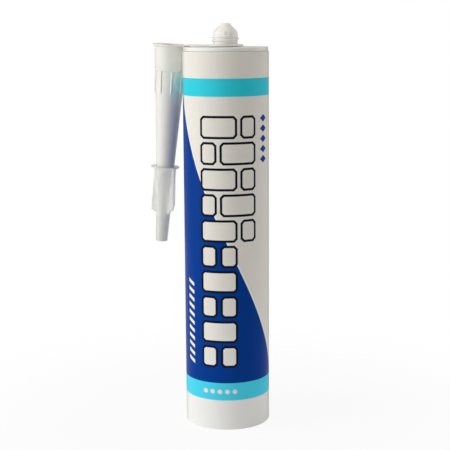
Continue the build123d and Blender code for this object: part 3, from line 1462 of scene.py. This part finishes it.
@dataclass
class Cap(Piece):
    """The closed cap over the nozzle's tip, with a thin flange and flat wings."""

    part = Part.CAP
    hanging: Hanging
    start: float = 72.0
    flange_radius: float = 8.4
    flange_thickness: float = 0.85
    foot_spread: float = 0.9
    foot_drops: tuple[float, float] = (0.15, 1.1)
    neck: float = 1.85
    mouth_outer: float = 6.49
    mouth_inner: float = 5.44
    seat_outer: float = 4.70
    seat_inner: float = 4.10
    seat: float = 94.0
    seat_room: float = 0.4
    seat_step: float = 0.68
    seat_ramp: float = 0.4
    length: float = 45.5
    end_radius: float = 3.45
    end_thickness: float = 1.1
    wall: float = 0.6
    wings: int = 4
    arc_columns: int = 16
    wing_turn: float = 72.1
    wing_top: float = 8.15
    wing_foot: float = 9.2
    wing_length: float = 25.0
    wing_chamfer: float = 3.6
    wing_thickness: float = 1.0
    wing_fillet: float = 0.35
    wing_round: float = 0.22
    wing_step: float = 0.9
    wing_foot_levels: tuple[float, ...] = (0.3, 0.1, -0.1, -0.3)
    wing_tail_levels: tuple[float, ...] = (0.2, 0.0, -0.1)

    def surface(self, distance: float) -> float:
        """Finds the cap's outer radius.

        Args:
            distance: the distance from the nozzle's mouth.

        Returns:
            The radius there.
        """
        share = (distance - self.start - self.neck) / (self.seat - self.start - self.neck)
        if share < 1:
            return self.mouth_outer + (self.seat_outer - self.mouth_outer) * max(share, 0.0)
        share = (distance - self.seat) / (self.start + self.length - self.seat)
        return self.seat_outer + (self.end_radius - self.seat_outer) * share

    def wing_edge(self, radius: float, height: float) -> float:
        """The radius of a wing's edge at a place on the outline.

        Args:
            radius: the outline's own radius there.
            height: the height there.

        Returns:
            The wing's radius, or the outline's own where there is no wing.
        """
        distance = -height
        first = self.start + self.flange_thickness
        foot = self.start + self.wing_length
        end = foot + self.wing_chamfer
        surface = self.surface(distance)
        if distance < first or distance > end or radius < surface - self.wall / 2:
            return radius
        share = (distance - first) / (foot - first)
        down = self.wing_top + (self.wing_foot - self.wing_top) * share
        back = self.wing_foot + (surface - self.wing_foot) * (distance - foot) / self.wing_chamfer
        return min(down, back)

    def sector(self) -> Skin:
        """Builds one sector with its wing.

        Returns:
            The sector, in the nozzle's own frame.
        """
        top, end = -self.start, -self.start - self.length
        under = top - self.flange_thickness
        first_drop, last_drop = self.foot_drops
        hollow = -self.seat - self.seat_room
        corners = [
            (0.0, end + self.end_thickness, 0.0),
            (self.end_radius - self.wall, end + self.end_thickness, 0.4),
            (self.seat_inner - self.seat_step, hollow - self.seat_ramp, 0.3),
            (self.seat_inner, hollow, 0.1),
            (self.mouth_inner, top, 0.15),
            (self.flange_radius, top, 0.3),
            (self.flange_radius, under, 0.3),
            (self.mouth_outer + self.foot_spread, under - first_drop, 0.4),
            (self.mouth_outer, under - last_drop, 1.6),
            (self.seat_outer, -self.seat, 20.0),
            (self.end_radius, end, 0.3),
            (0.0, end, 0.0),
        ]
        outline = Outline(corners, closed=False)
        foot = -self.start - self.wing_length
        tail = foot - self.wing_chamfer
        levels = [foot + off for off in self.wing_foot_levels]
        outline.level(levels + [tail + off for off in self.wing_tail_levels])
        sizes = (self.wing_thickness, self.wing_fillet, self.wing_round, self.seat_outer)
        flutes = Flutes(self.wings, *sizes, self.arc_columns)
        return flutes.sector(outline.edged(self.wing_edge, self.wing_step), closed=False)

    def meshes(self, forms: Forms) -> list[Mesh]:
        """Builds the cap.

        Args:
            forms: the Geometry Nodes trees.

        Returns:
            The cap's mesh.
        """
        winged = forms.ring.copied(self.sector(), self.wings, self.wing_turn)
        winged.transform(self.hanging.matrix())
        return [winged]


@dataclass
class Plunger(Piece):
    """The cup-shaped piston with two lips, and low ribs on its floor."""

    part = Part.PLUNGER
    recess: float = 20.0
    radius: float = 23.15
    lip_step: float = 0.45
    lip_height: float = 2.2
    waist_height: float = 7.6
    nose_height: float = 5.6
    nose_radius: float = 21.02
    wall: float = 1.5
    face: float = 1.6
    hub_radius: float = 3.5
    rib_height: float = 3.0
    rib_thickness: float = 1.2
    rib_sink: float = 0.3
    rib_overlap: float = 0.5
    ribs: int = 6
    segments: int = 160

    def rib(self, floor: float) -> Skin:
        """Builds one rib along the X axis.

        Args:
            floor: the height of the cup's floor.

        Returns:
            The rib, which sinks into the floor, the hub and the wall.
        """
        half, low, high = self.rib_thickness / 2, floor - self.rib_height, floor + self.rib_sink
        corners = [(-half, high, 0.0), (-half, low, 0.3), (half, low, 0.3), (half, high, 0.0)]
        section = [(spot.real, spot.imag) for spot in Outline(corners).points]
        size = len(section)
        reach = self.nose_radius - self.wall + self.rib_sink
        ends = (self.hub_radius - self.rib_overlap, reach)
        points = [(along, across, height) for along in ends for across, height in section]
        faces = [(a, (a + 1) % size, size + (a + 1) % size, size + a) for a in range(size)]
        faces += [tuple(range(size)), tuple(range(size, 2 * size))]
        return Skin(np.array(points) * MM, faces)

    def meshes(self, forms: Forms) -> list[Mesh]:
        """Builds the plunger.

        Args:
            forms: the Geometry Nodes trees.

        Returns:
            The meshes of the cup and its ribs.
        """
        low = self.recess
        waist = self.radius - self.lip_step
        lips = low + 2 * self.lip_height + self.waist_height
        front = lips + self.nose_height
        floor = front - self.face
        corners = [
            (0.0, front, 0.0),
            (self.nose_radius, front, 0.6),
            (self.nose_radius, lips, 0.3),
            (self.radius, lips, 0.4),
            (self.radius, lips - self.lip_height, 0.3),
            (waist, lips - self.lip_height - self.lip_step, 0.3),
            (waist, low + self.lip_height + self.lip_step, 0.3),
            (self.radius, low + self.lip_height, 0.3),
            (self.radius, low, 0.4),
            (waist - self.wall, low, 0.4),
            (waist - self.wall, lips - self.wall, 0.5),
            (self.nose_radius - self.wall, lips, 0.5),
            (self.nose_radius - self.wall, floor, 0.8),
            (self.hub_radius, floor, 0.3),
            (self.hub_radius, floor - self.rib_height, 0.3),
            (0.0, floor - self.rib_height, 0.0),
        ]
        cup = Outline(corners, closed=False).turned(self.segments)
        return [cup.mesh("cup"), forms.ring.copied(self.rib(floor), self.ribs, 0.0)]


@dataclass
class Sealant(Piece):
    """The sealant between the plunger and the head."""

    part = Part.SEALANT
    front: float = 37.9
    side: float = 22.95
    step: float = 21.32
    stem: float = 5.33
    plug_bottom: float = 210.7
    top: float = 217.4
    stem_top: float = 227.5
    travel: float = 178.5
    anchor: float = 217.7
    segments: int = 128

    def meshes(self, forms: Forms) -> list[Mesh]:
        """Builds the sealant.

        Args:
            forms: the Geometry Nodes trees; not used.

        Returns:
            The sealant's mesh.
        """
        corners = [
            (0.0, self.stem_top, 0.0),
            (self.stem, self.stem_top, 1.2),
            (self.stem, self.top, 0.5),
            (self.step, self.top, 0.5),
            (self.step, self.plug_bottom, 0.3),
            (self.side, self.plug_bottom, 0.6),
            (self.side, self.front, 0.6),
            (0.0, self.front, 0.0),
        ]
        return [Outline(corners, closed=False).turned(self.segments).mesh("sealant")]

    def build(self, forms: Forms, finish: Finish) -> bpy.types.Object:
        """Builds the piece and gives it a mesh of its own.

        Args:
            forms: the Geometry Nodes trees.
            finish: the finish.

        Returns:
            The piece.
        """
        piece = super().build(forms, finish)
        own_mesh(piece)
        return piece


# Studio


@dataclass(frozen=True)
class Softbox:
    """A rectangular lamp: degrees round from the camera's side, degrees up, metres away.

    Its level is the brightness that it gives a white surface that faces it.
    """

    name: str
    azimuth: float
    rise: float
    distance: float
    size: tuple[float, float]
    level: float
    colour: Triple
    middle: Triple = (0.0, 0.0, 0.12)

    def build(self) -> None:
        """Sets the lamp round the object's middle."""
        lamp = bpy.data.lights.new(self.name, "AREA")
        lamp.shape = "RECTANGLE"
        lamp.size, lamp.size_y = self.size
        lamp.energy = self.level * (math.pi * self.distance) ** 2
        lamp.color = self.colour
        across, up = math.radians(self.azimuth), math.radians(self.rise)
        flat = math.cos(up)
        away = Vector((math.sin(across) * flat, -math.cos(across) * flat, math.sin(up)))
        holder = added(self.name, lamp)
        holder.location = Vector(self.middle) + away * self.distance
        holder.rotation_euler = away.to_track_quat("Z", "Y").to_euler()


WARM: Triple = (1.0, 0.99, 0.97)
COOL: Triple = (1.0, 0.985, 0.975)
WHITE: Colour = (1.0, 1.0, 1.0, 1.0)


@dataclass
class Studio:
    """Pale floor, white surroundings, four softboxes and the camera."""

    focal_pixels: float = 1141.1
    image_pixels: float = 450.0
    sensor: float = 36.0
    clip_start: float = 0.01
    camera_place: Triple = (0.0, -0.6588, 0.2311)
    yaw: float = -0.087
    pitch: float = 9.852
    roll: float = -0.391
    surroundings: float = 0.33
    surroundings_colour: Colour = (1.0, 0.965, 0.945, 1.0)
    dim_side: float = 0.10
    backdrop: tuple[float, float] = (0.35, 0.8)
    floor_radius: float = 0.9
    floor_segments: int = 96
    floor_tones: tuple[float, float] = (0.94, 0.4)
    floor_fade: tuple[float, float] = (200.0, 420.0)
    shadow_fade: tuple[float, float] = (60.0, 240.0)
    shadow_share: float = 0.12
    lamps: tuple[Softbox, ...] = (
        Softbox("key_left", -80.0, 14.0, 1.1, (0.7, 1.1), 0.61, WARM),
        Softbox("front_left", -45.0, 0.0, 1.2, (0.5, 0.9), 0.27, WARM),
        Softbox("fill_right", 104.0, 8.0, 1.2, (0.5, 0.9), 0.27, COOL),
        Softbox("soft_top", 0.0, 90.0, 1.0, (0.7, 0.7), 0.30, WARM),
    )

    def camera(self) -> None:
        """Sets the camera at the photograph's angle."""
        yaw, pitch, roll = (math.radians(angle) for angle in (self.yaw, self.pitch, self.roll))
        flat = math.cos(pitch)
        forward = Vector((math.sin(yaw) * flat, math.cos(yaw) * flat, -math.sin(pitch)))
        level = Vector((math.cos(yaw), -math.sin(yaw), 0.0))
        above = level.cross(forward)
        right = math.cos(roll) * level + math.sin(roll) * above
        up = -math.sin(roll) * level + math.cos(roll) * above
        lens = bpy.data.cameras.new("camera")
        lens.sensor_width = self.sensor
        lens.lens = self.focal_pixels / self.image_pixels * self.sensor
        lens.clip_start = self.clip_start
        camera = added("camera", lens)
        turn = Matrix((right, up, -forward)).transposed().to_4x4()
        camera.matrix_world = Matrix.Translation(Vector(self.camera_place)) @ turn
        bpy.context.scene.camera = camera

    def world(self) -> None:
        """White to the camera and behind the object in reflections, dim light all round."""
        world = bpy.data.worlds.new("studio")
        bpy.context.scene.world = world
        wiring = Wiring(emptied(world))
        seen, glossy, through = wiring.rays()
        place = wiring.node("ShaderNodeTexCoord").outputs["Generated"]
        behind = wiring.split(place)[1].ramp(*self.backdrop)
        white = seen.higher(through).higher(glossy * behind)
        dark = glossy * (1.0 - behind) * (1.0 - seen)
        around, dim, bright = (
            wiring.node("ShaderNodeBackground", None, {"Color": colour, "Strength": strength})
            for colour, strength in (
                (self.surroundings_colour, self.surroundings),
                (WHITE, self.dim_side),
                (WHITE, 1.0),
            )
        )
        whole = wiring.mixed(white, wiring.mixed(dark, around, dim), bright)
        wiring.close("World", whole)

    def floor(self) -> None:
        """A pale round floor that keeps the object's shadow and fades into the white behind."""
        made = bmesh.new()
        rim = {"segments": self.floor_segments, "radius": self.floor_radius}
        bmesh.ops.create_circle(made, cap_ends=True, **rim)
        mesh = bpy.data.meshes.new("floor")
        made.to_mesh(mesh)
        made.free()
        wiring = Paint("pale_floor")
        x, y, _ = wiring.millimetres()
        away = (x * x + y * y).root()
        seen, glossy, through = wiring.rays()
        near, far = ((tone, tone, tone, 1.0) for tone in self.floor_tones)
        tone = wiring.blend(away.ramp(*self.floor_fade), near, far)
        plain = wiring.node("ShaderNodeBsdfDiffuse", None, {"Color": tone})
        white = wiring.node("ShaderNodeEmission", None, {"Color": WHITE})
        clear = away.ramp(*self.shadow_fade) * self.shadow_share + (1 - self.shadow_share)
        whole = wiring.mixed(clear * seen.higher(glossy.higher(through)), plain, white)
        wiring.close("Material", whole)
        mesh.materials.append(wiring.material)
        added("floor", mesh)

    def build(self) -> None:
        """Sets up the whole studio."""
        bpy.context.scene.view_settings.view_transform = "Standard"
        self.camera()
        self.world()
        self.floor()
        for lamp in self.lamps:
            lamp.build()


def main() -> None:
    """Builds the studio and every piece, in order."""
    logging.basicConfig(level=logging.INFO, format="%(name)s %(message)s")
    studio = Studio()
    studio.build()
    log.info("studio: camera, floor, surroundings and %d lights", len(studio.lamps))
    forms, hanging, tube = Forms(), Hanging(), Tube()
    # edge sets how deep each plastic's painted edge shade goes
    head = MouldedPlastic(
        "head_polyethylene", (0.91, 0.90, 0.865, 1.0), (0.88, 0.87, 0.83, 1.0), depth=0.8, edge=0.6
    )
    nozzle = MouldedPlastic(
        "nozzle_polyethylene", (0.865, 0.865, 0.825, 1.0), (0.84, 0.835, 0.785, 1.0)
    )
    cap = MouldedPlastic(
        "cap_polyethylene",
        (0.715, 0.725, 0.68, 1.0),
        (0.70, 0.71, 0.665, 1.0),
        depth=11.0,
        scatter=1.0,
        spread=Scatter.THROUGH,
    )
    piston = MouldedPlastic(
        "plunger_polyethylene", (0.80, 0.80, 0.78, 1.0), (0.74, 0.74, 0.72, 1.0)
    )
    pieces = (
        (tube, PrintedPlastic(radius=tube.radius)),
        (Head(), head),
        (Nozzle(hanging), nozzle),
        (Cap(hanging), cap),
        (Plunger(), piston),
        (Sealant(), SealantPaste()),
    )
    for piece, finish in pieces:
        built = piece.build(forms, finish)
        log.info("%s: %d faces", built.name, len(built.data.polygons))


if __name__ == "__main__":
    main()
